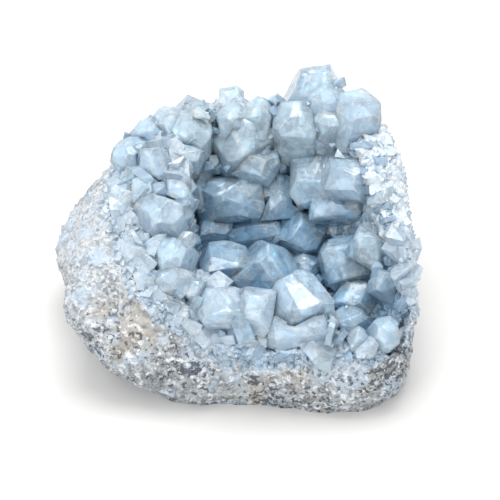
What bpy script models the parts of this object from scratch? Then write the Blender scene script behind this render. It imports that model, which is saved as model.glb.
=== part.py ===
"""Celestite geode, standing on its ground flat, with +X to the right, +Y to the back and +Z up.

A rind of host rock holds a drusy crust of pale blue celestite. Blue crystals stand in
sockets of the crust, on its rim and in its hollow. Lengths are in metres, angles in degrees,
and the sizes of sides and crystals in millimetres.
"""

import math
import random

import bmesh
import bpy
from mathutils import Matrix, Vector, noise

MM = 0.001

# Driving places and sizes
STONE_MIDDLE = Vector((0, 0, 30)) * MM
HOLLOW_MIDDLE = Vector((17, -2, 44)) * MM
SEAT_GAP = 0.3 * MM
STONE_DETAIL = 5
HOLLOW_DETAIL = 3
STONE_ROUNDNESS = 11
HOLLOW_ROUNDNESS = 6
STONE_BUMPS = ((30, 3), (9, 1.6))
HOLLOW_BUMPS = ((16, 3),)

# The sides that bound the stone: azimuth from +X, elevation, distance from its middle
STONE_SIDES = {
    "right": (0, 0, 59),
    "right back": (45, 5, 70),
    "back": (90, 8, 50),
    "left back": (135, 10, 56.5),
    "left": (190, -22, 59.5),
    "left front": (220, -12, 71),
    "front": (266, 0, 50),
    "right front": (315, -8, 83),
    "left shoulder": (176, 45, 44),
    "right shoulder": (0, 45, 57),
    "back shoulder": (90, 50, 47),
    "front shoulder": (270, 45, 31),
    "mouth": (270, 70, 21),
    "left under": (205, -45, 60),
    "front left under": (245, -45, 58),
    "front under": (275, -50, 60),
    "back under": (90, -45, 54),
    "base": (0, -90, 34),
}

# The sides that bound the hollow in the crust, seen from the hollow's middle
HOLLOW_SIDES = {
    "right": (20, -5, 27),
    "back": (90, -20, 31),
    "left": (180, 0, 34),
    "front": (253, -5, 36),
    "floor": (0, -90, 29),
    "mouth": (270, 68, 95),
}

# The sides where the crust meets the host rock, seen from the hollow's middle
CRUST_SIDES = {
    "right": (5, -12, 38),
    "back": (90, -15, 40),
    "left back": (142, -15, 58),
    "left": (200, 12, 54),
    "left front": (232, -8, 63),
    "front": (268, -25, 49),
    "floor": (0, -90, 39),
    "mouth": (270, 68, 110),
}

# Slopes of celestite's faces: tip faces across and along, faces between the sides and at
# the tip's corners, and the steep tip faces of a crystal that tapers to a spire
SLOPES = (39, 52, 38, 58)
SPIRE_SLOPES = (64, 60, 38, 66)

# How far a crystal's faces stray from that: in degrees, and in shares of the block
FACE_WANDER = 5
SHARE_WANDER = (-0.08, 0.06)
SHARE_LIMIT = 0.99

# How far out each family of faces stands, as a share of the block that it cuts, if it is there:
# tip faces across, tip faces along, faces between the sides, faces at the tip's corners
HABITS = {
    "block": (0.84, 0.90, 0.93, None),
    "blunt": (0.77, 0.80, 0.86, None),
    "gable": (0.66, 0.88, 0.90, None),
    "wedge": (0.88, 0.64, 0.90, None),
    "point": (0.62, 0.64, 0.82, None),
    "round": (0.74, 0.74, 0.79, None),
    "spire": (0.59, 0.68, 0.86, 0.76),
}

# Crystals, the ones that grew first at the top. Seat: the middle it is seen from, azimuth,
# elevation, and how far its centre stands in front of the wall or above the stone.
# Then where it points, its turn, half width, half thickness, half length and habit.
CRYSTALS = {
    "crystal_window": ("hollow", 68, -5, 4, (265, -32), 8, 8.5, 6.4, 10.9, "wedge"),
    "crystal_right_gem": ("hollow", 3, -43, 5, (275, 42), 10, 9.3, 8.9, 8.9, "blunt"),
    "crystal_centre_gem": ("hollow", 176, -72, 5, (300, 38), 25, 10.6, 7.6, 9.0, "gable"),
    "crystal_front_block": ("stone", 300, 4, -6, (262, 72), 38, 8.7, 8.0, 9.9, "gable"),
    "crystal_peak": ("stone", 57, 33, 4, (84, 82), 6, 10.2, 7.8, 13.4, "spire"),
    "crystal_peak_shoulder": ("stone", 48, 37, 4, (40, 76), 20, 5.7, 5.2, 9.9, "point"),
    "crystal_flat_top": ("hollow", 174, -50, 4, (270, 82), 6, 8.0, 6.4, 9.7, "block"),
    "crystal_blue_pyramid": ("hollow", 114, 14, 5, (285, 72), 20, 10.1, 7.8, 10.7, "point"),
    "crystal_broad_face": ("hollow", 86, 20, 6, (282, 70), -12, 7.3, 7.1, 11.8, "blunt"),
    "crystal_lens": ("hollow", 111, 3, 5, (268, 30), -18, 9.0, 5.9, 8.4, "round"),
    "crystal_round_end": ("hollow", 128, -18, 5, (262, 20), 12, 11.7, 7.8, 9.0, "round"),
    "crystal_square": ("hollow", 64, 23, 3, (272, 84), 4, 5.9, 5.4, 7.0, "block"),
    "crystal_deep_blue": ("hollow", 75, -50, 4, (255, 62), -15, 7.6, 6.1, 9.2, "gable"),
    "crystal_fan": ("hollow", 45, -21, 3, (250, 35), 18, 9.7, 5.7, 7.3, "wedge"),
    "crystal_slab": ("hollow", 108, -16, 3, (280, 25), -8, 11.6, 5.2, 7.3, "wedge"),
    "crystal_grey": ("hollow", 95, -27, 4, (262, 40), 10, 7.6, 5.4, 7.2, "gable"),
    "crystal_step": ("stone", 35, 34, 2, (20, 78), 12, 6.4, 6.4, 8.9, "block"),
    "crystal_pale_wall": ("hollow", 38, 4, 1, (235, 45), 15, 9.0, 6.8, 8.1, "blunt"),
    "crystal_left_cap": ("stone", 126, 34, -6, (120, 70), 30, 7.3, 6.8, 8.2, "round"),
    "crystal_streaked": ("stone", 119, 40, -9, (280, 80), -20, 6.2, 5.9, 8.8, "blunt"),
    "crystal_back_round": ("stone", 93, 43, -4, (95, 80), 15, 5.2, 5.5, 8.2, "round"),
    "crystal_back_blunt": ("stone", 78, 43, -4, (80, 80), -15, 5.5, 5.2, 8.6, "blunt"),
    "crystal_back_pale": ("stone", 70, 40, -1, (60, 72), 20, 4.8, 4.8, 8.2, "point"),
    "crystal_narrow": ("hollow", 134, 20, 4, (275, 80), 10, 3.2, 4.0, 7.9, "blunt"),
    "crystal_left_band": ("stone", 200, 37, 0, (200, 62), 20, 9.1, 7.3, 6.6, "round"),
    "crystal_lit_drop": ("stone", 160, 42, 1, (255, 38), 12, 5.2, 5.0, 7.7, "gable"),
    "crystal_lit_slab": ("hollow", 150, 16, 1, (262, 50), -14, 4.5, 4.0, 6.8, "wedge"),
    "crystal_dark_facets": ("hollow", 134, 4, 3, (260, 50), 22, 4.2, 4.0, 6.8, "point"),
    "crystal_left_edge": ("stone", 154, 33, -1, (165, 60), -10, 6.4, 5.7, 6.6, "round"),
    "crystal_left_low": ("stone", 139, 33, -3, (150, 62), 15, 5.2, 5.2, 6.6, "blunt"),
    "crystal_left_deep": ("hollow", 142, -12, 2, (290, 45), 25, 5.0, 4.7, 6.8, "gable"),
    "crystal_deep_wedge": ("hollow", 144, -33, 3, (290, 48), -20, 6.1, 5.9, 7.4, "wedge"),
    "crystal_deep_back": ("hollow", 120, -44, 3, (268, 50), 8, 9.7, 5.2, 6.8, "wedge"),
    "crystal_right_back": ("hollow", 350, -21, 2, (215, 48), 10, 5.7, 5.2, 9.6, "blunt"),
    "crystal_right_low": ("hollow", 334, -46, 3, (262, 60), -16, 7.6, 5.4, 6.2, "gable"),
    "crystal_right_edge": ("hollow", 332, -24, 3, (215, 50), 14, 4.6, 4.2, 5.4, "blunt"),
    "crystal_floor": ("hollow", 54, -69, 1, (300, 66), 24, 5.4, 5.0, 5.2, "point"),
    "crystal_low_corner": ("hollow", 316, -44, 1, (200, 68), 12, 5.2, 4.7, 5.2, "blunt"),
    "crystal_front_left": ("stone", 264, 7, 0, (255, 58), 14, 7.3, 6.2, 7.1, "round"),
    "crystal_front_middle": ("stone", 279, 6, 0, (272, 52), -10, 5.5, 7.3, 6.6, "blunt"),
    "crystal_front_low": ("stone", 295, 0, -1, (276, 40), 6, 10.0, 5.2, 5.9, "wedge"),
    "crystal_front_small": ("stone", 303, 2, 1, (300, 45), 20, 3.6, 3.6, 4.6, "blunt"),
    "crystal_front_corner": ("stone", 251, 12, 0, (240, 62), 10, 3.9, 3.9, 4.8, "blunt"),
    "crystal_left_lump": ("stone", 229, 24, 0, (225, 60), 24, 6.4, 5.7, 5.7, "round"),
    "crystal_left_round": ("stone", 239, 15, 0, (230, 55), 8, 5.5, 5.2, 5.3, "round"),
    "crystal_left_upper": ("stone", 179, 38, 0, (200, 62), -16, 5.7, 5.0, 5.3, "blunt"),
    "crystal_left_saddle": ("stone", 186, 47, 0, (250, 60), 12, 5.5, 4.6, 4.8, "gable"),
    "crystal_right_lump": ("stone", 318, -3, -5, (300, 62), 16, 4.6, 5.0, 7.7, "round"),
    "crystal_right_bead": ("stone", 311, -4, -5, (290, 60), 10, 3.4, 3.4, 4.6, "blunt"),
}

# Colours as linear red, green and blue, with roughness
ROCK_FINISH = ((0.62, 0.62, 0.59), 0.9)
DRUSE_FINISH = ((0.60, 0.70, 0.80), 0.5)
CRYSTAL_FINISH = ((0.42, 0.58, 0.72), 0.2)


def direction(azimuth, elevation):
    """Unit vector that points to that azimuth, from +X towards +Y, and elevation."""
    a, e = math.radians(azimuth), math.radians(elevation)
    return Vector((math.cos(e) * math.cos(a), math.cos(e) * math.sin(a), math.sin(e)))


def reach(ray, sides, roundness, grown=0.0):
    """How far a body bounded by those sides extends along the ray, its corners rounded off."""
    total = 0.0
    for azimuth, elevation, distance in sides.values():
        share = ray.dot(direction(azimuth, elevation)) / (distance * MM + grown)
        total += max(0.0, share) ** roundness
    return total ** (-1 / roundness)


def mesh_object(name, bm, collection):
    """A new object in the collection that holds the bmesh, which is freed."""
    mesh = bpy.data.meshes.new(name)
    bm.to_mesh(mesh)
    bm.free()
    thing = bpy.data.objects.new(name, mesh)
    collection.objects.link(thing)
    return thing


def lump(middle, sides, roundness, detail, bumps, grown=0.0):
    """A closed rounded body, made from an icosphere whose points are moved out to its sides."""
    bm = bmesh.new()
    bmesh.ops.create_icosphere(bm, subdivisions=detail, radius=1.0)
    for vertex in bm.verts:
        ray = vertex.co.normalized()
        point = ray * reach(ray, sides, roundness, grown)
        for size, depth in bumps:
            point += ray * noise.noise((middle + point) / (size * MM)) * depth * MM
        vertex.co = middle + point
    return bm


def cut_flat(bm, point, normal):
    """Takes off what lies past the plane and closes the cut with a flat face."""
    geometry = bm.verts[:] + bm.edges[:] + bm.faces[:]
    cut = bmesh.ops.bisect_plane(bm, geom=geometry, plane_co=point, plane_no=normal,
                                 clear_outer=True)
    edges = [part for part in cut["geom_cut"] if isinstance(part, bmesh.types.BMEdge)]
    if edges:
        bmesh.ops.contextual_create(bm, geom=edges)


def stone_body():
    """The whole stone, cut flat where it rests."""
    bm = lump(STONE_MIDDLE, STONE_SIDES, STONE_ROUNDNESS, STONE_DETAIL, STONE_BUMPS)
    cut_flat(bm, Vector(), Vector((0, 0, -1)))
    return bm


def hollow_body(sides, grown=0.0):
    """The body of the hollow, or of the hollow with its crust."""
    return lump(HOLLOW_MIDDLE, sides, HOLLOW_ROUNDNESS, HOLLOW_DETAIL, HOLLOW_BUMPS, grown)


def crystal_centre(seen_from, azimuth, elevation, proud):
    """Centre of a crystal, in front of the hollow's wall or above the stone's surface."""
    ray = direction(azimuth, elevation)
    if seen_from == "hollow":
        wall = reach(ray, HOLLOW_SIDES, HOLLOW_ROUNDNESS)
        return HOLLOW_MIDDLE + ray * (wall - proud * MM)
    surface = reach(ray, STONE_SIDES, STONE_ROUNDNESS)
    return STONE_MIDDLE + ray * (surface + proud * MM)


def crystal_axes(points, turn):
    """Rotation that turns +Z to where the crystal points, with its width level at no turn."""
    along = direction(*points)
    across = Vector((0, 0, 1)).cross(along).normalized()
    upward = along.cross(across)
    axes = Matrix((across, upward, along)).transposed()
    return axes @ Matrix.Rotation(math.radians(turn), 3, "Z")


def crystal_faces(habit):
    """Normals of the faces that cut a block to a crystal, each with its share of the block."""
    slopes = SPIRE_SLOPES if habit == "spire" else SLOPES
    tip_x, tip_y, side, steep = (math.radians(slope) for slope in slopes)
    across, along, between, corner = HABITS[habit]
    for sign in (-1, 1):
        yield Vector((sign * math.sin(tip_x), 0, math.cos(tip_x))), across
        yield Vector((0, sign * math.sin(tip_y), math.cos(tip_y))), along
        for other in (-1, 1):
            flat = Vector((sign * math.cos(side), other * math.sin(side), 0))
            yield flat, between
            if corner:
                yield flat * math.sin(steep) + Vector((0, 0, math.cos(steep))), corner


def crystal_body(name, row, grown=0.0):
    """One crystal: a block cut by celestite's faces, each a little off its ideal place."""
    seen_from, azimuth, elevation, proud, points, turn, width, thickness, length, habit = row
    wander = random.Random(name)
    half = Vector((width, thickness, length)) * MM
    bm = bmesh.new()
    bmesh.ops.create_cube(bm, size=2.0)
    bmesh.ops.scale(bm, vec=half + Vector((grown, grown, grown)), verts=bm.verts)
    for normal, share in crystal_faces(habit):
        lean = Vector([math.radians(wander.uniform(-FACE_WANDER, FACE_WANDER)) for _ in "xyz"])
        facing = (normal + lean).normalized()
        corner = sum(abs(facing[i]) * half[i] for i in range(3))
        distance = corner * min(SHARE_LIMIT, share + wander.uniform(*SHARE_WANDER))
        cut_flat(bm, facing * (distance + grown), facing)
    centre = crystal_centre(seen_from, azimuth, elevation, proud)
    bmesh.ops.transform(bm, verts=bm.verts,
                        matrix=Matrix.Translation(centre) @ crystal_axes(points, turn).to_4x4())
    return bm, centre, half.length


def boolean(thing, operation, cutter):
    """Adds a Boolean with an object or with all the objects of a collection."""
    modifier = thing.modifiers.new(operation.lower(), "BOOLEAN")
    modifier.operation = operation
    modifier.solver = "EXACT"
    if isinstance(cutter, bpy.types.Collection):
        modifier.operand_type = "COLLECTION"
        modifier.collection = cutter
    else:
        modifier.object = cutter


def body_volume(faces):
    """Volume that closed faces hold, summed over the wedges from the origin."""
    total = 0.0
    for face in faces:
        first = face.verts[0].co
        for second, third in zip(face.verts[1:], face.verts[2:]):
            total += first.dot(second.co.cross(third.co)) / 6
    return total


def settle(thing, mesh):
    """Gives the object the mesh that its modifiers made, with only the largest body in it."""
    thing.modifiers.clear()
    bm = bmesh.new()
    bm.from_mesh(mesh)
    bpy.data.meshes.remove(mesh)
    bmesh.ops.triangulate(bm, faces=bm.faces)
    bodies, seen = [], set()
    for face in bm.faces:
        if face in seen:
            continue
        body, front = [], [face]
        seen.add(face)
        while front:
            current = front.pop()
            body.append(current)
            for edge in current.edges:
                for neighbour in edge.link_faces:
                    if neighbour not in seen:
                        seen.add(neighbour)
                        front.append(neighbour)
        bodies.append(body)
    bodies.sort(key=body_volume)
    for body in bodies[:-1]:
        bmesh.ops.delete(bm, geom=body, context="FACES")
    bm.to_mesh(thing.data)
    bm.free()


def finish(thing, colour, roughness):
    """Gives the object its own material."""
    material = bpy.data.materials.new(thing.name)
    material.use_nodes = True
    shader = material.node_tree.nodes["Principled BSDF"]
    shader.inputs["Base Color"].default_value = (*colour, 1)
    shader.inputs["Roughness"].default_value = roughness
    shader.inputs["Metallic"].default_value = 0.0
    thing.data.materials.append(material)


def hide(thing):
    """Marks an object as a cutter."""
    thing.hide_render = True
    thing.display_type = "WIRE"


def main():
    for thing in list(bpy.data.objects):
        bpy.data.objects.remove(thing, do_unlink=True)
    geode = bpy.data.collections.new("celestite_geode")
    cutters = bpy.data.collections.new("cutters")
    sockets = bpy.data.collections.new("sockets")
    for collection in (geode, cutters, sockets):
        bpy.context.scene.collection.children.link(collection)

    crystals, places = [], []
    for name, row in CRYSTALS.items():
        bm, centre, radius = crystal_body(name, row)
        crystal = mesh_object(name, bm, geode)
        socket = mesh_object(name + "_socket", crystal_body(name, row, SEAT_GAP)[0], sockets)
        hide(socket)
        for older, older_centre, older_radius in places:
            if (centre - older_centre).length < radius + older_radius:
                boolean(crystal, "DIFFERENCE", older)
        crystals.append(crystal)
        places.append((socket, centre, radius))

    hollow = mesh_object("hollow", hollow_body(HOLLOW_SIDES), cutters)
    crust_inside = mesh_object("crust_inside", hollow_body(CRUST_SIDES), cutters)
    rock_inside = mesh_object("rock_inside", hollow_body(CRUST_SIDES, SEAT_GAP), cutters)
    for cutter in (hollow, crust_inside, rock_inside):
        hide(cutter)

    matrix = mesh_object("matrix", stone_body(), geode)
    boolean(matrix, "DIFFERENCE", rock_inside)
    boolean(matrix, "DIFFERENCE", sockets)
    crust = mesh_object("druse_crust", stone_body(), geode)
    boolean(crust, "INTERSECT", crust_inside)
    boolean(crust, "DIFFERENCE", hollow)
    boolean(crust, "DIFFERENCE", sockets)

    things = crystals + [matrix, crust]
    shaped = bpy.context.evaluated_depsgraph_get()
    meshes = [bpy.data.meshes.new_from_object(thing.evaluated_get(shaped)) for thing in things]
    for thing, mesh in zip(things, meshes):
        settle(thing, mesh)
    for crystal in crystals:
        finish(crystal, *CRYSTAL_FINISH)
    finish(matrix, *ROCK_FINISH)
    finish(crust, *DRUSE_FINISH)


main()
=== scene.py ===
import math
import random

import bmesh
import bpy
from mathutils import Matrix, Vector, noise
from mathutils.bvhtree import BVHTree


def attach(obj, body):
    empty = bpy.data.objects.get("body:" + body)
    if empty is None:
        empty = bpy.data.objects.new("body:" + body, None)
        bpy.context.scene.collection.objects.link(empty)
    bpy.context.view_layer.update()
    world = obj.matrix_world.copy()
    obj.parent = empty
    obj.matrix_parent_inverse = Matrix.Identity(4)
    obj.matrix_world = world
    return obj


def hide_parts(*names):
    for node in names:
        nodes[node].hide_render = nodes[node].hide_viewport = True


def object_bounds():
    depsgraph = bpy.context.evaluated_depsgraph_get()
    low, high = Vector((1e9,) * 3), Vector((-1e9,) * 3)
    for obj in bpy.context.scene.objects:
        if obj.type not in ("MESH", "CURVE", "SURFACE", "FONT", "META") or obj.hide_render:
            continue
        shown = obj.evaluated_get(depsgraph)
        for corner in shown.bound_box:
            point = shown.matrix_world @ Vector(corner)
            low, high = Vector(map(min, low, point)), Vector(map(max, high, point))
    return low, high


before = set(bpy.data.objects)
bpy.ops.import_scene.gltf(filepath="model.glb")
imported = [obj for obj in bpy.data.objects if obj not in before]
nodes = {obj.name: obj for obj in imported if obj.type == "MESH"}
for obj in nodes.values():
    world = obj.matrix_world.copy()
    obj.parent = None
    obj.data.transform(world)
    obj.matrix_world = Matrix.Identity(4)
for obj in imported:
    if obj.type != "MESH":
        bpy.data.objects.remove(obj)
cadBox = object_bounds()
mm = 0.001
noise.seed_set(4)  # unseeded, noise_vector would start from the clock
print("frame loaded,", len(nodes), "nodes")

# the hollow as the CAD part has it: its middle, and the plane of the broken mouth
hollowMiddle = Vector((17, -2, 44)) * mm
mouthPoint = Vector((0, 0, 30)) * mm
mouthSlope = math.radians(70)
mouthNormal = Vector((0, -math.cos(mouthSlope), math.sin(mouthSlope)))
mouthReach = 21 * mm


def depthBelowMouth(point):
    return mouthReach - (point - mouthPoint).dot(mouthNormal)


# camera at the photo's angle

cameraSettings = {
    "aim": (0.0045, 0.0, 0.0287),
    "elevation": 38.0,
    "distance": 0.6,
    "frameWidth": 0.167,
    "sensor": 36.0,
    "clipStart": 0.01,
}


def makeCamera(settings):
    data = bpy.data.cameras.new("studioCamera")
    data.sensor_width = settings["sensor"]
    data.lens = settings["sensor"] * settings["distance"] / settings["frameWidth"]
    camera = bpy.data.objects.new("studioCamera", data)
    bpy.context.scene.collection.objects.link(camera)
    up = math.radians(settings["elevation"])
    back = Vector((0, -math.cos(up), math.sin(up)))
    camera.location = Vector(settings["aim"]) + back * settings["distance"]
    camera.rotation_euler = (math.radians(90) - up, 0, 0)
    data.clip_start = settings["clipStart"]
    bpy.context.scene.camera = camera


# soft studio light and a pale floor

lightSettings = {
    "worldColour": (1.0, 1.0, 1.0),
    "worldStrength": 1.12,
    "aim": (0.0, 0.0, 0.03),
    "topSize": 0.6,
    "topPower": 5.5,
    "topPlace": (0.0, 0.1, 0.98),
    "sideSize": 0.5,
    "sidePower": 2.0,
    "sidePlace": (-0.5, -0.7, 0.55),
    "floorSize": 6.0,
    "floorColour": (0.70, 0.692, 0.68),
    "floorRough": 0.9,
}


def areaLight(name, size, power, place, target):
    data = bpy.data.lights.new(name, "AREA")
    data.shape = "DISK"
    data.size = size
    data.energy = power
    light = bpy.data.objects.new(name, data)
    light.location = place
    light.rotation_euler = (Vector(target) - Vector(place)).to_track_quat("-Z", "Y").to_euler()
    bpy.context.scene.collection.objects.link(light)


def makeStudio(settings):
    scene = bpy.context.scene
    world = bpy.data.worlds.new("studioWorld")
    world.use_nodes = True
    background = world.node_tree.nodes["Background"]
    background.inputs["Color"].default_value = (*settings["worldColour"], 1)
    background.inputs["Strength"].default_value = settings["worldStrength"]
    scene.world = world
    for side in ("top", "side"):
        areaLight(side + "Light", settings[side + "Size"], settings[side + "Power"],
                  settings[side + "Place"], settings["aim"])
    bm = bmesh.new()
    bmesh.ops.create_grid(bm, x_segments=1, y_segments=1, size=settings["floorSize"] / 2)
    floor = newPiece("studioFloor", bm)
    material, tree, shader = newMaterial("studioFloor")
    shader.inputs["Base Color"].default_value = (*settings["floorColour"], 1)
    shader.inputs["Roughness"].default_value = settings["floorRough"]
    floor.data.materials.append(material)
    scene.view_settings.view_transform = "Standard"
    scene.view_settings.look = "None"


# small helpers for meshes

mergeDistance = 0.001 * mm
cellShuffle = 7.3  # spreads the cells' middles over the noise that their leans come from


def freeMesh(name, bm):
    mesh = bpy.data.meshes.new(name)
    bm.to_mesh(mesh)
    bm.free()
    return mesh


def newPiece(name, bm):
    piece = bpy.data.objects.new(name, freeMesh(name, bm))
    bpy.context.scene.collection.objects.link(piece)
    return piece


def nodeShape(name):
    bm = bmesh.new()
    bm.from_mesh(nodes[name].data)
    bmesh.ops.remove_doubles(bm, verts=bm.verts, dist=mergeDistance)
    bmesh.ops.recalc_face_normals(bm, faces=bm.faces)
    return bm


def baked(piece):
    # the piece's modifiers become its mesh
    shaped = piece.evaluated_get(bpy.context.evaluated_depsgraph_get())
    mesh = bpy.data.meshes.new_from_object(shaped)
    old = piece.data
    piece.modifiers.clear()
    piece.data = mesh
    bpy.data.meshes.remove(old)
    mesh.name = piece.name
    return piece


def voxelCopy(pieceName, nodeName, voxel):
    piece = newPiece(pieceName, nodeShape(nodeName))
    remesh = piece.modifiers.new("remesh", "REMESH")
    remesh.mode = "VOXEL"
    remesh.voxel_size = voxel
    remesh.use_smooth_shade = True
    return baked(piece)


def pushed(piece, inward):
    # every vertex moves inwards along its normal by inward(place) millimetres
    vertices = piece.data.vertices
    places = [vertex.co.copy() for vertex in vertices]
    normals = [vertex.normal.copy() for vertex in vertices]
    moved = []
    for place, normal in zip(places, normals):
        moved.extend(place - normal * inward(place) * mm)
    vertices.foreach_set("co", moved)
    piece.data.update()


def smoothShaded(piece):
    piece.data.polygons.foreach_set("use_smooth", [True] * len(piece.data.polygons))


def placed(piece, slotName, material, *replaced):
    piece.data.materials.clear()
    piece.data.materials.append(material)
    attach(piece, "root")
    if replaced:
        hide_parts(*replaced)


def cellTop(point, size, seed):
    # height in mm over a cell with a flat tilted top, in a field of such cells
    centres = noise.voronoi(point / (size * mm))[1]
    middle = centres[0]
    lean = noise.noise_vector(middle * cellShuffle + Vector((seed, seed, seed)))
    return (point / (size * mm) - middle).dot(lean) * size


def solidTree(names):
    # a tree of the CAD nodes' faces, to look up nearest points and rays in
    vertices, faces = [], []
    for name in names:
        mesh = nodes[name].data
        mesh.calc_loop_triangles()
        first = len(vertices)
        vertices += [vertex.co.copy() for vertex in mesh.vertices]
        faces += [tuple(first + i for i in t.vertices) for t in mesh.loop_triangles]
    return BVHTree.FromPolygons(vertices, faces)


# node helpers

def newGroup(name, inputs, outputs):
    group = bpy.data.node_groups.new(name, "ShaderNodeTree")
    for socketName, kind, value in inputs:
        socket = group.interface.new_socket(socketName, in_out="INPUT", socket_type=kind)
        if value is not None:
            socket.default_value = value
    for socketName, kind in outputs:
        group.interface.new_socket(socketName, in_out="OUTPUT", socket_type=kind)
    return group


def addNode(tree, kind, **values):
    # a node with its settings; a value for an input is given by the input's name in "sockets"
    node = tree.nodes.new(kind)
    for name, value in values.items():
        if name == "sockets":
            for socketName, given in value.items():
                socket = node.inputs[socketName]
                if isinstance(given, bpy.types.NodeSocket):
                    tree.links.new(given, socket)
                else:
                    socket.default_value = given
        else:
            setattr(node, name, value)
    return node


def span(tree, value, low, high, toLow=0.0, toHigh=1.0):
    node = addNode(tree, "ShaderNodeMapRange", clamp=True,
                   sockets={"Value": value, "From Min": low, "From Max": high,
                            "To Min": toLow, "To Max": toHigh})
    return node.outputs["Result"]


def mixColour(tree, factor, first, second, blend="MIX"):
    # a Mix node's colours are its inputs 6 and 7, and its output 2
    node = addNode(tree, "ShaderNodeMix", data_type="RGBA", blend_type=blend)
    for index, given in ((0, factor), (6, first), (7, second)):
        if isinstance(given, bpy.types.NodeSocket):
            tree.links.new(given, node.inputs[index])
        else:
            node.inputs[index].default_value = given if index == 0 else (*given, 1)
    return node.outputs[2]


def maths(tree, operation, first, second=0.0):
    node = addNode(tree, "ShaderNodeMath", operation=operation)
    for index, given in enumerate((first, second)):
        if isinstance(given, bpy.types.NodeSocket):
            tree.links.new(given, node.inputs[index])
        else:
            node.inputs[index].default_value = given
    return node.outputs[0]


def noiseAt(tree, place, scale, detail=3.0, roughness=0.55, distortion=0.0):
    node = addNode(tree, "ShaderNodeTexNoise",
                   sockets={"Vector": place, "Scale": scale, "Detail": detail,
                            "Roughness": roughness, "Distortion": distortion})
    return node.outputs["Fac"]


def cells(tree, place, scale, feature="F1", output="Distance"):
    node = addNode(tree, "ShaderNodeTexVoronoi", feature=feature,
                   sockets={"Vector": place, "Scale": scale})
    return node.outputs[output]


def objectPlace(tree):
    return addNode(tree, "ShaderNodeTexCoord").outputs["Object"]


def placeGroup(tree, group, **sockets):
    node = tree.nodes.new("ShaderNodeGroup")
    node.node_tree = group
    for name, given in sockets.items():
        if isinstance(given, bpy.types.NodeSocket):
            tree.links.new(given, node.inputs[name])
        else:
            node.inputs[name].default_value = given
    return node


def newMaterial(name):
    material = bpy.data.materials.new(name)
    material.use_nodes = True
    tree = material.node_tree
    return material, tree, tree.nodes["Principled BSDF"]


def addBump(tree, shader, height, strength, distance=1.0):
    bump = addNode(tree, "ShaderNodeBump",
                   sockets={"Strength": strength, "Distance": distance, "Height": height})
    tree.links.new(bump.outputs["Normal"], shader.inputs["Normal"])


# depth below the broken mouth, 0 at the rim and 1 deep in the hollow

def makeDepthGroup():
    group = newGroup("hollowDepth",
                     [("Place", "NodeSocketVector", None),
                      ("Shallow", "NodeSocketFloat", 0.0), ("Deep", "NodeSocketFloat", 0.03)],
                     [("Depth", "NodeSocketFloat")])
    start = group.nodes.new("NodeGroupInput")
    end = group.nodes.new("NodeGroupOutput")
    offset = addNode(group, "ShaderNodeVectorMath", operation="SUBTRACT",
                     sockets={0: start.outputs["Place"], 1: tuple(mouthPoint)})
    along = addNode(group, "ShaderNodeVectorMath", operation="DOT_PRODUCT",
                    sockets={0: offset.outputs[0], 1: tuple(mouthNormal)})
    depth = maths(group, "SUBTRACT", mouthReach, along.outputs["Value"])
    result = span(group, depth, start.outputs["Shallow"], start.outputs["Deep"])
    group.links.new(result, end.inputs["Depth"])
    return group


# milky clouds, feathery veils and thin straight lines inside the celestite, and small facets

veilSettings = {
    # cells a metre, and the axis that each cell's pattern is turned about
    "turned": (95.0, (0.8, 0.4, 0.45)),
    "crossed": (150.0, (0.3, 0.9, 0.3)),
    # streaks: scale, length, where they start, where they are full, and distortion
    "cloud": (190.0, 2.0, 0.48, 0.64, 0.8),
    "feather": (620.0, 4.0, 0.45, 0.60, 0.3),
    "lines": (850.0, 10.0, 0.55, 0.64, 0.0),
    "finerLines": (1050.0, 10.0, 0.57, 0.66, 0.0),
    "featherShare": (0.2, 1.0),
    "linePatches": 170.0,
    "lineSpan": (0.46, 0.62),
    "facets": (190.0, 480.0),
    "facetShares": (0.6, 0.4),
    "grain": 700.0,
    "grainHeight": 0.05 * mm,
}


def tiltedFacets(tree, place, scale, slope):
    # height in metres over cells that each lean their own way, and a random tone for each cell
    cell = addNode(tree, "ShaderNodeTexVoronoi", sockets={"Vector": place, "Scale": scale})
    offset = addNode(tree, "ShaderNodeVectorMath", operation="SUBTRACT",
                     sockets={0: place, 1: cell.outputs["Position"]})
    lean = addNode(tree, "ShaderNodeVectorMath", operation="SUBTRACT",
                   sockets={0: cell.outputs["Color"], 1: (0.5, 0.5, 0.5)})
    along = addNode(tree, "ShaderNodeVectorMath", operation="DOT_PRODUCT",
                    sockets={0: offset.outputs[0], 1: lean.outputs[0]})
    tone = addNode(tree, "ShaderNodeSeparateColor", sockets={"Color": cell.outputs["Color"]})
    return maths(tree, "MULTIPLY", along.outputs["Value"], slope), tone.outputs[1]


def turnedPlace(tree, place, scale, axis):
    # the place turned by another angle in each large cell
    cell = addNode(tree, "ShaderNodeTexVoronoi", sockets={"Vector": place, "Scale": scale})
    tone = addNode(tree, "ShaderNodeSeparateColor", sockets={"Color": cell.outputs["Color"]})
    angle = maths(tree, "MULTIPLY", tone.outputs[0], math.tau)
    return addNode(tree, "ShaderNodeVectorRotate", rotation_type="AXIS_ANGLE",
                   sockets={"Vector": place, "Axis": axis, "Angle": angle}).outputs[0]


def streaks(tree, place, scale, length, low, high, distortion):
    drawn = addNode(tree, "ShaderNodeMapping",
                    sockets={"Vector": place, "Scale": (1.0, 1.0, 1 / length)}).outputs["Vector"]
    return span(tree, noiseAt(tree, drawn, scale, 3.0, 0.6, distortion), low, high)


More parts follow.
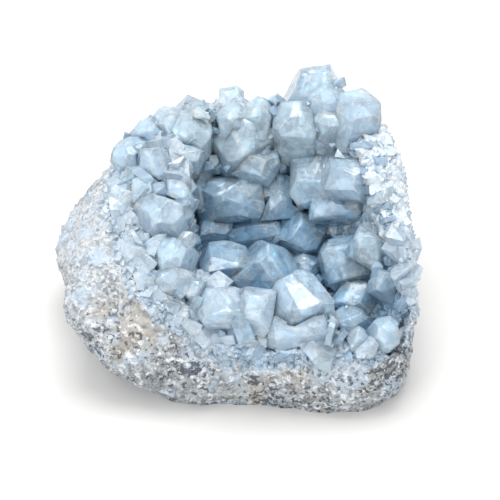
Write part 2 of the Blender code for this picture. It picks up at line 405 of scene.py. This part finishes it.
def makeVeilGroup(settings):
    group = newGroup("milkyVeils",
                     [("Place", "NodeSocketVector", None), ("Cloud", "NodeSocketFloat", 0.5),
                      ("Crack", "NodeSocketFloat", 0.5), ("Slope", "NodeSocketFloat", 0.5)],
                     [("Milk", "NodeSocketFloat"), ("Facet", "NodeSocketFloat"),
                      ("Height", "NodeSocketFloat")])
    start = group.nodes.new("NodeGroupInput")
    end = group.nodes.new("NodeGroupOutput")
    place = start.outputs["Place"]
    turned = turnedPlace(group, place, *settings["turned"])
    crossed = turnedPlace(group, place, *settings["crossed"])
    cloud = streaks(group, turned, *settings["cloud"])
    feather = streaks(group, crossed, *settings["feather"])
    cloudy = maths(group, "MULTIPLY", cloud,
                   span(group, feather, 0.0, 1.0, *settings["featherShare"]))
    patch = span(group, noiseAt(group, place, settings["linePatches"], 2.0), *settings["lineSpan"])
    lines = maths(group, "MAXIMUM", streaks(group, turned, *settings["lines"]),
                  streaks(group, crossed, *settings["finerLines"]))
    lines = maths(group, "MULTIPLY", lines, patch)
    cloudPart = maths(group, "MULTIPLY", cloudy, start.outputs["Cloud"])
    linePart = maths(group, "MULTIPLY", lines, start.outputs["Crack"])
    milk = maths(group, "ADD", cloudPart, linePart)
    largeScale, smallScale = settings["facets"]
    large, tone = tiltedFacets(group, turned, largeScale, start.outputs["Slope"])
    small, finerTone = tiltedFacets(group, crossed, smallScale, start.outputs["Slope"])
    grain = maths(group, "MULTIPLY", noiseAt(group, place, settings["grain"]),
                  settings["grainHeight"])
    height = maths(group, "ADD", maths(group, "ADD", large, small), grain)
    largeShare, smallShare = settings["facetShares"]
    facet = maths(group, "ADD", maths(group, "MULTIPLY", tone, largeShare),
                  maths(group, "MULTIPLY", finerTone, smallShare))
    group.links.new(maths(group, "MINIMUM", milk, 1.0), end.inputs["Milk"])
    group.links.new(facet, end.inputs["Facet"])
    group.links.new(height, end.inputs["Height"])
    return group


# the celestite's finishes, each under the name of its material; the heart's isn't see-through

celestiteLooks = {
    "celestiteHollow": {
        "clear": (0.70, 0.88, 1.0), "milk": (0.94, 0.99, 1.0), "deep": (0.47, 0.75, 0.98),
        "cloud": 0.9, "crack": 1.0, "transmission": 0.60, "absorb": (0.35, 0.72, 0.92),
        "density": 6.0, "slope": 0.10, "rough": (0.0, 0.08), "tones": (0.74, 1.14),
    },
    "celestiteRim": {
        "clear": (0.64, 0.81, 0.96), "milk": (0.90, 0.97, 1.0), "deep": (0.57, 0.79, 0.97),
        "cloud": 0.8, "crack": 0.9, "transmission": 0.60, "absorb": (0.45, 0.76, 0.93),
        "density": 6.0, "slope": 0.15, "rough": (0.02, 0.15), "tones": (0.80, 1.12),
    },
    "celestiteSmall": {
        "clear": (0.46, 0.64, 0.80), "milk": (0.72, 0.86, 0.96), "deep": (0.38, 0.62, 0.84),
        "cloud": 0.6, "crack": 0.5, "transmission": 0.45, "absorb": (0.45, 0.76, 0.93),
        "density": 6.0, "slope": 0.15, "rough": (0.03, 0.20), "tones": (0.75, 1.1),
    },
    "celestiteRimDruse": {
        "clear": (0.60, 0.73, 0.85), "milk": (0.90, 0.96, 1.0), "deep": (0.46, 0.70, 0.92),
        "cloud": 0.9, "crack": 0.5, "transmission": 0.35, "absorb": (0.55, 0.80, 0.95),
        "density": 6.0, "slope": 0.15, "rough": (0.04, 0.25), "tones": (0.8, 1.1),
    },
    "celestiteWall": {
        "clear": (0.73, 0.83, 0.92), "milk": (0.96, 0.98, 1.0), "deep": (0.68, 0.82, 0.94),
        "cloud": 0.9, "crack": 0.5, "transmission": 0.2, "absorb": (0.55, 0.80, 0.95),
        "density": 6.0, "slope": 0.3, "rough": (0.1, 0.4), "tones": (0.8, 1.08),
    },
    "celestiteHeart": {
        "clear": (0.68, 0.87, 1.0), "milk": (0.92, 0.98, 1.0), "deep": (0.46, 0.72, 0.95),
        "cloud": 1.0, "crack": 1.0, "metallic": 0.3, "slope": 0.6, "rough": (0.15, 0.4),
        "tones": (0.7, 1.15),
    },
}

celestiteShared = {
    # the deep colour is bluer and darker: partly the celestite's own deeper blue, partly painted
    # shade in the hollow
    "depth": (0.006, 0.028),  # metres below the mouth, where the deep colour starts and is full
    "toneSpan": (0.2, 0.8),
    # colour, share and patches of the painted highlight on the crystals' edges
    "wornColour": (0.93, 0.98, 1.0),
    "wornShare": 0.9,
    "wornPatches": 400.0,
    "wornSpan": (0.35, 0.6),
    "roughPatches": 310.0,
    "roughSpan": (0.35, 0.7),
    "ior": 1.62,
}


def celestiteMaterial(name, look, shared, depthGroup, veilGroup):
    material, tree, shader = newMaterial(name)
    place = objectPlace(tree)
    shallow, deep = shared["depth"]
    depth = placeGroup(tree, depthGroup, Place=place, Shallow=shallow, Deep=deep)
    veils = placeGroup(tree, veilGroup, Place=place, Cloud=look["cloud"], Crack=look["crack"],
                       Slope=look["slope"])
    # the body turns to the deep colour below the mouth: the celestite's deeper blue, with painted
    # shade in the hollow
    body = mixColour(tree, depth.outputs["Depth"], look["clear"], look["deep"])
    tone = span(tree, veils.outputs["Facet"], *shared["toneSpan"], *look["tones"])
    body = mixColour(tree, 1.0, body, tone, "MULTIPLY")
    colour = mixColour(tree, veils.outputs["Milk"], body, look["milk"])

    # painted highlight along the edges: pale bevels standing in for the light that the crystals'
    # edges catch; only the large crystals' bevels have the attribute
    worn = addNode(tree, "ShaderNodeAttribute", attribute_name="worn").outputs["Fac"]
    patches = span(tree, noiseAt(tree, place, shared["wornPatches"], 2.0), *shared["wornSpan"])
    worn = maths(tree, "MULTIPLY", maths(tree, "MULTIPLY", worn, patches), shared["wornShare"])
    colour = mixColour(tree, worn, colour, shared["wornColour"])
    tree.links.new(colour, shader.inputs["Base Color"])
    rough = span(tree, noiseAt(tree, place, shared["roughPatches"], 2.0),
                 *shared["roughSpan"], *look["rough"])
    tree.links.new(rough, shader.inputs["Roughness"])
    addBump(tree, shader, veils.outputs["Height"], 1.0)
    shader.inputs["Metallic"].default_value = look.get("metallic", 0.0)
    if "absorb" in look:
        shader.inputs["Transmission Weight"].default_value = look["transmission"]
        shader.inputs["IOR"].default_value = shared["ior"]
        absorption = addNode(tree, "ShaderNodeVolumeAbsorption",
                             sockets={"Color": (*look["absorb"], 1), "Density": look["density"]})
        tree.links.new(absorption.outputs["Volume"],
                       tree.nodes["Material Output"].inputs["Volume"])
    return material


# granular host rock, fine and pale at the back and sides, darker towards the front with dark
# grains and dark clumps: partly the rock's own grains, partly painted shade on the front side

rockLook = {
    "light": (0.60, 0.63, 0.65),
    "grey": (0.26, 0.29, 0.32),
    "beige": (0.44, 0.39, 0.32),
    "blue": (0.46, 0.57, 0.69),
    "dark": (0.07, 0.085, 0.105),
    "white": (0.82, 0.85, 0.88),
    # the front zone is darker: more dark grains and dark clumps, partly painted shade on the front
    # side
    "front": (0.026, 0.044),  # metres to the front, where the coarse rock starts and is full
    # noises: scale, detail, roughness and, for the grains, distortion
    "fine": (900.0, 4.0, 0.65),
    "medium": (260.0, 4.0, 0.65),
    "coarse": (120.0, 4.0, 0.6),
    "patches": (42.0, 3.0, 0.6),
    "clusters": (75.0, 3.0, 0.6),
    "specks": (620.0, 2.0, 0.5, 0.4),
    "bits": (520.0, 2.0, 0.5, 0.3),
    "shift": (0.37, 0.11, 0.23),
    # where a colour starts and is full on its noise, and its least and greatest share
    "lightSpan": (0.36, 0.60),
    "clumpSpan": (0.38, 0.62, 0.5, 1.0),
    "beigeSpan": (0.52, 0.66),
    "blueSpan": (0.50, 0.62, 0.0, 0.7),
    "speckSpan": (0.0, 0.04),
    "speckLevel": (0.42, 0.66, 0.68, 0.50),
    "whiteSpan": (0.57, 0.63),
    "paleSpan": (0.4, 0.6),
    "overgrownSpan": (0.9, 1.25, 0.0, 0.75),
    # at the back and at the front
    "beigeShare": (0.3, 0.55),
    "grainShare": (0.25, 0.85),
    "whiteShare": 0.85,
    "frontClusters": 0.05,
    "overgrowthNoise": 1.2,
    "fineHeight": 0.5 * mm,
    "mediumHeight": 1.2 * mm,
    "speckDepth": 0.4 * mm,
    "bump": 0.9,
    "rough": (0.3, 0.7, 0.5, 0.95),
    "specular": 0.3,
}


def rockMaterial(look):
    material, tree, shader = newMaterial("hostRock")
    place = objectPlace(tree)
    others = addNode(tree, "ShaderNodeVectorMath", operation="ADD",
                     sockets={0: place, 1: look["shift"]}).outputs[0]
    axes = addNode(tree, "ShaderNodeSeparateXYZ", sockets={"Vector": place})
    front = span(tree, maths(tree, "MULTIPLY", axes.outputs["Y"], -1.0), *look["front"])
    fine = noiseAt(tree, place, *look["fine"])
    medium = noiseAt(tree, place, *look["medium"])
    coarse = noiseAt(tree, others, *look["coarse"])
    patches = noiseAt(tree, place, *look["patches"])
    colour = mixColour(tree, span(tree, fine, *look["lightSpan"]), look["grey"], look["light"])
    # dark clumps only towards the front, partly painted shade on the front side
    clumps = span(tree, medium, *look["clumpSpan"])
    clumps = addNode(tree, "ShaderNodeMix", data_type="FLOAT",
                     sockets={0: front, 2: 1.0, 3: clumps}).outputs[0]
    colour = mixColour(tree, 1.0, colour, clumps, "MULTIPLY")
    beige = maths(tree, "MULTIPLY", span(tree, patches, *look["beigeSpan"]),
                  span(tree, front, 0.0, 1.0, *look["beigeShare"]))
    colour = mixColour(tree, beige, colour, look["beige"])
    colour = mixColour(tree, span(tree, coarse, *look["blueSpan"]), colour, look["blue"])

    # dark and pale grains of uneven size, the dark ones mostly at the front
    clusters = maths(tree, "ADD", noiseAt(tree, others, *look["clusters"]),
                     maths(tree, "MULTIPLY", front, look["frontClusters"]))
    level = span(tree, clusters, *look["speckLevel"])
    specks = maths(tree, "SUBTRACT", noiseAt(tree, place, *look["specks"]), level)
    specks = span(tree, specks, *look["speckSpan"])
    share = span(tree, front, 0.0, 1.0, *look["grainShare"])
    colour = mixColour(tree, maths(tree, "MULTIPLY", specks, share), colour, look["dark"])
    bits = span(tree, noiseAt(tree, others, *look["bits"]), *look["whiteSpan"])
    whiteShare = maths(tree, "MULTIPLY", share, look["whiteShare"])
    colour = mixColour(tree, maths(tree, "MULTIPLY", bits, whiteShare), colour, look["white"])

    # pale crystals grown over the rock beside the crust
    near = addNode(tree, "ShaderNodeAttribute", attribute_name="nearCrust").outputs["Fac"]
    overgrown = maths(tree, "ADD", near, maths(tree, "MULTIPLY", coarse, look["overgrowthNoise"]))
    pale = mixColour(tree, span(tree, fine, *look["paleSpan"]), look["blue"], look["white"])
    colour = mixColour(tree, span(tree, overgrown, *look["overgrownSpan"]), colour, pale)
    tree.links.new(colour, shader.inputs["Base Color"])
    tree.links.new(span(tree, fine, *look["rough"]), shader.inputs["Roughness"])
    height = maths(tree, "SUBTRACT", maths(tree, "MULTIPLY", medium, look["mediumHeight"]),
                   maths(tree, "MULTIPLY", specks, look["speckDepth"]))
    height = maths(tree, "ADD", maths(tree, "MULTIPLY", fine, look["fineHeight"]), height)
    addBump(tree, shader, height, look["bump"])
    shader.inputs["Specular IOR Level"].default_value = look["specular"]
    return material


# drusy crust, whitish at the rim and slate blue deep down; the deep colour is darker partly as
# painted shade in the hollow

crustLook = {
    "rim": (0.58, 0.71, 0.84),
    "deep": (0.36, 0.56, 0.74),
    "dark": (0.20, 0.32, 0.45),
    "light": (0.84, 0.91, 0.97),
    "depth": (0.002, 0.016),
    "grains": 520.0,
    "web": 330.0,
    "lightSpan": (0.55, 1.0, 0.0, 0.55),
    "darkSpan": (0.6, 1.0, 0.0, 0.6),
    "webSpan": (0.0, 0.07, 0.8, 0.0),
    "relief": 700.0,
    "bump": 0.6,
    "bumpHeight": 1 * mm,
    "rough": (0.1, 0.6),
    "specular": 0.6,
}


def crustMaterial(look, depthGroup):
    material, tree, shader = newMaterial("drusyCrust")
    place = objectPlace(tree)
    shallow, deep = look["depth"]
    depth = placeGroup(tree, depthGroup, Place=place, Shallow=shallow, Deep=deep)
    # towards the darker deep colour in the hollow: partly the crust's own slate blue, partly
    # painted shade
    colour = mixColour(tree, depth.outputs["Depth"], look["rim"], look["deep"])
    grains = addNode(tree, "ShaderNodeSeparateColor",
                     sockets={"Color": cells(tree, place, look["grains"], "F1", "Color")})
    light = span(tree, grains.outputs[0], *look["lightSpan"])
    dark = span(tree, grains.outputs[1], *look["darkSpan"])
    web = span(tree, cells(tree, place, look["web"], "DISTANCE_TO_EDGE"), *look["webSpan"])
    colour = mixColour(tree, light, colour, look["light"])
    colour = mixColour(tree, dark, colour, look["dark"])
    colour = mixColour(tree, web, colour, look["light"])
    tree.links.new(colour, shader.inputs["Base Color"])
    rough = span(tree, grains.outputs[2], 0.0, 1.0, *look["rough"])
    tree.links.new(rough, shader.inputs["Roughness"])
    height = maths(tree, "ADD", cells(tree, place, look["grains"]),
                   noiseAt(tree, place, look["relief"]))
    addBump(tree, shader, height, look["bump"], look["bumpHeight"])
    shader.inputs["Specular IOR Level"].default_value = look["specular"]
    return material


# the rind: lumps, grains and pits that go inwards, so that its box stays as it is

rindSettings = {
    "voxel": 0.8 * mm,
    "lumps": ((11, 0.9), (4.5, 0.9), (2.0, 0.5)),  # size and depth of each kind, in mm
    "grain": 3.0,
    "grainSeed": 3.0,
    "grainTilt": 0.7,
    "pitSize": 5.0,
    "pitShift": (3.1, 7.7, 1.3),
    "pitStart": 0.25,
    "pitDepth": 2.2,
    "restHeight": 0.3 * mm,  # the base stays flat up to here
    "overgrowth": 8 * mm,
}


def makeRind(settings, material):
    piece = voxelCopy("rind", "matrix", settings["voxel"])
    shift = Vector(settings["pitShift"])

    def inward(point):
        if point.z < settings["restHeight"]:
            return 0.0
        total = sum((0.5 + 0.5 * noise.noise(point / (size * mm))) * depth
                    for size, depth in settings["lumps"])
        pit = noise.noise(point / (settings["pitSize"] * mm) + shift)
        grain = cellTop(point, settings["grain"], settings["grainSeed"]) * settings["grainTilt"]
        pit = max(0.0, pit - settings["pitStart"]) * settings["pitDepth"]
        return max(0.0, total + grain) + pit

    pushed(piece, inward)
    smoothShaded(piece)
    crustTree = solidTree(["druse_crust"])
    near = piece.data.attributes.new("nearCrust", "FLOAT", "POINT")
    near.data.foreach_set("value", [
        max(0.0, 1 - crustTree.find_nearest(vertex.co)[3] / settings["overgrowth"])
        for vertex in piece.data.vertices])
    placed(piece, "host_rock", material, "matrix")
    print("rind", len(piece.data.polygons), "faces")


# the crust: cells with flat tilted tops, like small intergrown crystals

crustSettings = {
    "voxel": 0.8 * mm,
    "cell": 5.0,  # the second cells are half as large
    "seeds": (2.0, 5.0),
    "tilt": 0.8,
    "finerTilt": 0.6,
    "highest": 0.6,
    "depth": 0.6,
    "contact": 0.6 * mm,
    "overlap": 0.9,
}


def makeCrust(settings, material):
    piece = voxelCopy("crust", "druse_crust", settings["voxel"])
    rock = solidTree(["matrix"])
    seed, finerSeed = settings["seeds"]

    def inward(point):
        if rock.find_nearest(point)[3] < settings["contact"]:
            return -settings["overlap"]  # grown into the rind, so that no gap shows
        height = cellTop(point, settings["cell"], seed)
        height += cellTop(point, settings["cell"] / 2, finerSeed) * settings["finerTilt"]
        return settings["depth"] - min(height * settings["tilt"], settings["highest"])

    pushed(piece, inward)
    placed(piece, "druse", material, "druse_crust")
    print("crust", len(piece.data.polygons), "faces")


# the large crystals: the CAD solid with broken corners and edges, and slightly wavy faces

crystalSettings = {
    "flatAngle": 1.0,
    "chips": 14,
    "chipDepth": (0.3, 1.8),
    "edge": 0.26 * mm,
    "merge": 0.01 * mm,
    "longest": 1.6 * mm,
    "wave": ((5.0, 0.08), (2.0, 0.04)),
    "waveSpread": 10,
    "grown": 0.3,
    "margin": 1.0 * mm,
    "shrunk": 0.2,
    "sharpAngle": 10.0,
}


def cutOff(bm, facing, offset):
    # takes off what lies past the plane and closes the cut
    geometry = bm.verts[:] + bm.edges[:] + bm.faces[:]
    cut = bmesh.ops.bisect_plane(bm, geom=geometry, plane_co=facing * offset, plane_no=facing,
                                 clear_outer=True)
    edges = [part for part in cut["geom_cut"] if isinstance(part, bmesh.types.BMEdge)]
    if edges:
        bmesh.ops.contextual_create(bm, geom=edges)


def randomFacing(rng):
    return Vector([rng.gauss(0, 1) for _ in "xyz"]).normalized()


def chipped(bm, settings, rng):
    for _ in range(settings["chips"]):
        facing = randomFacing(rng)
        furthest = max(vertex.co.dot(facing) for vertex in bm.verts)
        cutOff(bm, facing, furthest - rng.uniform(*settings["chipDepth"]) * mm)


splitRounds = 4


def splitLong(bm, longest):
    bmesh.ops.triangulate(bm, faces=bm.faces)
    for _ in range(splitRounds):
        long = [edge for edge in bm.edges if edge.calc_length() > longest]
        if not long:
            break
        bmesh.ops.subdivide_edges(bm, edges=long, cuts=1)
        bmesh.ops.triangulate(bm, faces=bm.faces)
    withoutFolds(bm)


def withoutFolds(bm):
    # takes off the few pairs of faces that lie on each other, left where a narrow one closed
    alike = {}
    for face in bm.faces:
        alike.setdefault(frozenset(face.verts), []).append(face)
    folds = [face for faces in alike.values() for face in faces[len(faces) % 2:]]
    bmesh.ops.delete(bm, geom=folds, context="FACES")


def brokenShape(name, settings):
    # the CAD solid with its corners chipped, always in the same way
    bm = nodeShape(name)
    bmesh.ops.dissolve_limit(bm, angle_limit=math.radians(settings["flatAngle"]),
                             verts=bm.verts, edges=bm.edges)
    chipped(bm, settings, random.Random(name))
    return bm


def makeCrystal(name, settings, material):
    bm = brokenShape(name, settings)
    # the bevel faces carry the painted edge highlight
    worn = bm.faces.layers.float.new("worn")
    bevel = bmesh.ops.bevel(bm, geom=bm.edges[:], affect="EDGES", offset=settings["edge"],
                            segments=1, profile=0.5, material=-1, clamp_overlap=True)
    for face in bevel["faces"]:
        face[worn] = 1.0
    bmesh.ops.remove_doubles(bm, verts=bm.verts, dist=settings["merge"])
    splitLong(bm, settings["longest"])
    rng = random.Random("wave of " + name)
    shift = Vector((rng.random(), rng.random(), rng.random())) * settings["waveSpread"]
    piece = newPiece(name.replace("crystal_", "celestite_"), bm)

    def inward(point):
        # grown against its neighbours, but within the CAD part's box
        wave = sum(noise.noise(point / (size * mm) + shift) * depth
                   for size, depth in settings["wave"])
        room = min(min(cadBox[1][i] - point[i], point[i] - cadBox[0][i]) for i in range(3))
        return wave - settings["grown"] if room > settings["margin"] else settings["shrunk"]

    pushed(piece, inward)
    smoothShaded(piece)
    piece.data.set_sharp_from_angle(angle=math.radians(settings["sharpAngle"]))
    placed(piece, "celestite", material, name)


# the cloudy hearts sealed in the large crystals, each a copy of its crystal under a clear skin

heartSettings = {
    "skin": 0.7,
    "sharpest": 2.2,
    "longest": 2.0 * mm,
    "flaw": 0.3,
    "flawSize": 1.3,
}


def makeHearts(name, nodeNames, settings, material):
    bm = bmesh.new()
    for nodeName in nodeNames:
        shape = brokenShape(nodeName, crystalSettings)
        depths = [(vertex, vertex.normal * min(vertex.calc_shell_factor(), settings["sharpest"]))
                  for vertex in shape.verts]
        for vertex, depth in depths:
            vertex.co -= depth * settings["skin"] * mm
        splitLong(shape, settings["longest"])
        mesh = freeMesh("heart", shape)
        bm.from_mesh(mesh)
        bpy.data.meshes.remove(mesh)
    piece = newPiece(name, bm)
    pushed(piece, lambda point: settings["flaw"]
           * abs(noise.noise(point / (settings["flawSize"] * mm))))
    placed(piece, "celestite", material)
    print(name, len(piece.data.polygons), "faces")


# small crystals that fill the crust between the large ones

druseSettings = {
    "medium": {"count": 130, "size": (2.8, 5.0), "lean": 0.6, "spacing": 0.55, "sunk": 0.8,
               "clear": -0.2, "inside": True, "tries": 6},
    "seams": {"count": 110, "size": (1.6, 3.2), "lean": 0.6, "spacing": 0.9, "sunk": 1.1,
              "inside": True, "tries": 40},
    "hollow": {"count": 700, "size": (1.2, 2.6), "lean": 0.8, "spacing": 0.6, "sunk": 0.6,
               "clear": -0.1, "inside": True, "tries": 6},
    "wall": {"count": 620, "size": (0.9, 2.2), "lean": 1.3, "spacing": 0.36, "sunk": 0.7,
             "clear": 0.0, "inside": False, "tries": 6},
    "bigRim": {"count": 240, "size": (2.2, 4.4), "lean": 0.8, "spacing": 0.42, "sunk": 0.6,
               "clear": -0.5, "inside": False, "tries": 6},
    "rim": {"count": 320, "size": (1.2, 2.4), "lean": 1.2, "spacing": 0.4, "sunk": 0.6,
            "clear": -0.4, "inside": False, "tries": 6},
    "edge": {"count": 900, "size": (0.6, 1.6), "lean": 1.0, "spacing": 0.42, "sunk": 0.9,
             "inside": False, "tries": 60},
}
druseSeed = 11
sizeSpread = (0.7, 1.0)
shapeCount = 14

shardSettings = {
    "block": 2.4,
    "cuts": 11,
    "cutAt": (0.75, 1.15),
    "stretch": ((0.9, 1.3), (0.6, 0.9), (0.9, 1.5)),
}


def shardShape(settings, rng):
    # a broken bit of crystal: a block with random flat breaks
    bm = bmesh.new()
    bmesh.ops.create_cube(bm, size=settings["block"])
    for _ in range(settings["cuts"]):
        cutOff(bm, randomFacing(rng), rng.uniform(*settings["cutAt"]))
    stretch = [rng.uniform(*limits) for limits in settings["stretch"]]
    bmesh.ops.scale(bm, vec=stretch, verts=bm.verts)
    return freeMesh("shard", bm)


smallSettings = {
    "half": ((0.7, 1.05), (0.5, 0.8), (1.5, 2.1)),
    # slope of a pair of tip faces, the axis they lean along, and how far out they cut
    "tips": ((45, 0, (0.55, 0.85)), (58, 1, (0.6, 0.9))),
    "jitter": 0.08,
    "cutAt": (0.85, 1.0),
    "edge": 0.06,
}


def smallShape(settings, rng):
    # a small crystal with two pairs of tip faces
    bm = bmesh.new()
    bmesh.ops.create_cube(bm, size=2.0)
    half = Vector([rng.uniform(*limits) for limits in settings["half"]])
    bmesh.ops.scale(bm, vec=half, verts=bm.verts)
    tips = [(math.radians(slope), axis, rng.uniform(*share))
            for slope, axis, share in settings["tips"]]
    jitter = settings["jitter"]
    for slope, axis, share in tips:
        for sign in (-1, 1):
            facing = Vector((0, 0, math.cos(slope)))
            facing[axis] = sign * math.sin(slope)
            facing += Vector([rng.uniform(-jitter, jitter) for _ in "xyz"])
            facing.normalize()
            corner = sum(abs(facing[i]) * half[i] for i in range(3))
            cutOff(bm, facing, corner * share * rng.uniform(*settings["cutAt"]))
    bmesh.ops.bevel(bm, geom=bm.edges[:], affect="EDGES", offset=settings["edge"], segments=1,
                    profile=0.5, material=-1, clamp_overlap=True)
    return freeMesh("smallCrystal", bm)


def pointIn(corners, rng):
    a, b = rng.random(), rng.random()
    if a + b > 1:
        a, b = 1 - a, 1 - b
    return corners[0] + (corners[1] - corners[0]) * a + (corners[2] - corners[0]) * b


def surfaceSpots(name, wanted, rng, count):
    # random places on a CAD node, each with its triangle's normal
    mesh = nodes[name].data
    mesh.calc_loop_triangles()
    triangles = []
    for triangle in mesh.loop_triangles:
        corners = [mesh.vertices[i].co.copy() for i in triangle.vertices]
        if wanted(sum(corners, Vector()) / 3, triangle.normal):
            triangles.append((corners, triangle.normal.copy(), triangle.area))
    weights = [area for corners, normal, area in triangles]
    for corners, normal, area in rng.choices(triangles, weights, k=count):
        yield pointIn(corners, rng), normal


# where the small crystals sit

spotSettings = {
    "seamReach": 1.2 * mm,  # how near the next large crystal is at a seam
    "seamLift": 0.8 * mm,
    "openReach": 9 * mm,  # how far a seam is free of crystals in front
    "edgeReach": 5 * mm,
    "edgeGap": 0.3 * mm,
    "hollowFrom": 2 * mm,  # depths below the mouth
    "rimTo": 9 * mm,
    "rockTo": 16 * mm,
    "rockTurn": 4 * mm,
    "wallFrom": (34 * mm, -12 * mm),  # the wall is to the right of this and behind it
    "upward": 0.1,
    "lowestRoot": 4 * mm,
    "furthestRoot": 57 * mm,
}


def anywhere(point, normal):
    return True


def insideHollow(point, normal):
    deep = depthBelowMouth(point) > spotSettings["hollowFrom"]
    return deep and (hollowMiddle - point).dot(normal) > 0


def besideWall(point):
    x, y = spotSettings["wallFrom"]
    return point.x > x and point.y > y


def onWall(point, normal):
    # the finely grained wall at the right
    return besideWall(point) and normal.z > spotSettings["upward"]


def onRim(point, normal):
    if besideWall(point) or insideHollow(point, normal):
        return False
    return depthBelowMouth(point) < spotSettings["rimTo"] and normal.z > spotSettings["upward"]


def besideMouth(point, normal):
    shallow = depthBelowMouth(point) < spotSettings["rockTo"]
    return shallow and (hollowMiddle - point).dot(normal) < spotSettings["rockTurn"]


def seamSpots(settings, names, rng, count, crystalTree):
    # places where two large crystals meet, open to the mouth
    trees = {name: solidTree([name]) for name in names}
    for name in rng.choices(names, k=count):
        for point, normal in surfaceSpots(name, anywhere, rng, 1):
            if not any(tree.find_nearest(point, settings["seamReach"])[0]
                       for other, tree in trees.items() if other != name):
                continue
            outward = ((hollowMiddle - point).normalized() + mouthNormal).normalized()
            start = point + outward * settings["seamLift"]
            if crystalTree.ray_cast(start, outward, settings["openReach"])[0] is None:
                yield point, outward


def edgeSpots(settings, rng, count):
    # places on the rock beside the crust, fewer away from it
    crustTree = solidTree(["druse_crust"])
    for point, normal in surfaceSpots("matrix", besideMouth, rng, count):
        distance = crustTree.find_nearest(point)[3]
        reach = settings["edgeReach"] * rng.random() ** 2
        if settings["edgeGap"] < distance < reach:
            yield point, normal


def piercing(settings, shape):
    # whether a root would come out of the rind, below or at the right flank
    return any(vertex.co.z < settings["lowestRoot"] or vertex.co.x > settings["furthestRoot"]
               for vertex in shape.vertices)


def makeDruse(name, settings, shapes, material, spots, rng, crystalTree, taken):
    bm = bmesh.new()
    made = 0
    for point, normal in spots:
        if made >= settings["count"]:
            break
        size = rng.uniform(*settings["size"]) * rng.uniform(*sizeSpread) * mm
        if "clear" in settings:
            near, nearNormal = crystalTree.find_nearest(point)[:2]
            if (point - near).dot(nearNormal) < size * settings["clear"]:
                continue
        if any((point - other).length < (size + otherSize) * settings["spacing"]
               for other, otherSize in taken):
            continue
        lean = Vector([rng.uniform(-1, 1) for _ in "xyz"]) * settings["lean"]
        turn = (normal + lean).normalized().to_track_quat("Z", "Y").to_matrix().to_4x4()
        spin = Matrix.Rotation(rng.uniform(0, math.tau), 4, "Z")
        middle = Matrix.Translation(point - normal * size * settings["sunk"])
        shape = rng.choice(shapes).copy()
        shape.transform(middle @ turn @ spin @ Matrix.Scale(size, 4))
        if not (settings["inside"] and piercing(spotSettings, shape)):
            bm.from_mesh(shape)
            taken.append((point, size))
            made += 1
        bpy.data.meshes.remove(shape)
    piece = newPiece(name, bm)
    placed(piece, "druse", material)
    print(name, made, "crystals,", len(piece.data.polygons), "faces")


# the making

makeCamera(cameraSettings)
makeStudio(lightSettings)
print("camera and studio")

depthGroup = makeDepthGroup()
veilGroup = makeVeilGroup(veilSettings)
finishes = {name: celestiteMaterial(name, look, celestiteShared, depthGroup, veilGroup)
            for name, look in celestiteLooks.items()}
print("materials", len(finishes) + 2)

makeRind(rindSettings, rockMaterial(rockLook))
makeCrust(crustSettings, crustMaterial(crustLook, depthGroup))

rimNames = {"front_left", "front_middle", "front_low", "front_small", "front_corner",
            "front_block", "left_lump", "left_round", "left_upper", "left_saddle", "left_band",
            "left_cap", "left_edge", "left_low", "back_pale", "right_lump", "right_bead",
            "pale_wall", "step", "peak", "peak_shoulder", "lit_drop"}
crystalNames = [name for name in nodes if name.startswith("crystal_")]
for name in crystalNames:
    isRim = name.replace("crystal_", "") in rimNames
    makeCrystal(name, crystalSettings, finishes["celestiteRim" if isRim else "celestiteHollow"])
print("crystals", len(crystalNames))
makeHearts("hearts", crystalNames, heartSettings, finishes["celestiteHeart"])

rng = random.Random(druseSeed)
smallShapes = [smallShape(smallSettings, rng) for _ in range(shapeCount)]
shards = [shardShape(shardSettings, rng) for _ in range(shapeCount)]
crystalTree = solidTree(crystalNames)
taken = []
for name, shapes, finish, wanted in (
        ("medium", smallShapes, "celestiteHollow", insideHollow),
        ("seams", smallShapes, "celestiteSmall", None),
        ("hollow", smallShapes, "celestiteSmall", insideHollow),
        ("wall", shards, "celestiteWall", onWall),
        ("bigRim", shards, "celestiteRimDruse", onRim),
        ("rim", shards, "celestiteRimDruse", onRim),
        ("edge", shards, "celestiteRimDruse", None)):
    settings = druseSettings[name]
    tries = settings["count"] * settings["tries"]
    if wanted:
        spots = surfaceSpots("druse_crust", wanted, rng, tries)
    elif name == "seams":
        spots = seamSpots(spotSettings, crystalNames, rng, tries, crystalTree)
    else:
        spots = edgeSpots(spotSettings, rng, tries)
    makeDruse("druse" + name[0].upper() + name[1:], settings, shapes, finishes[finish], spots,
              rng, crystalTree, taken)
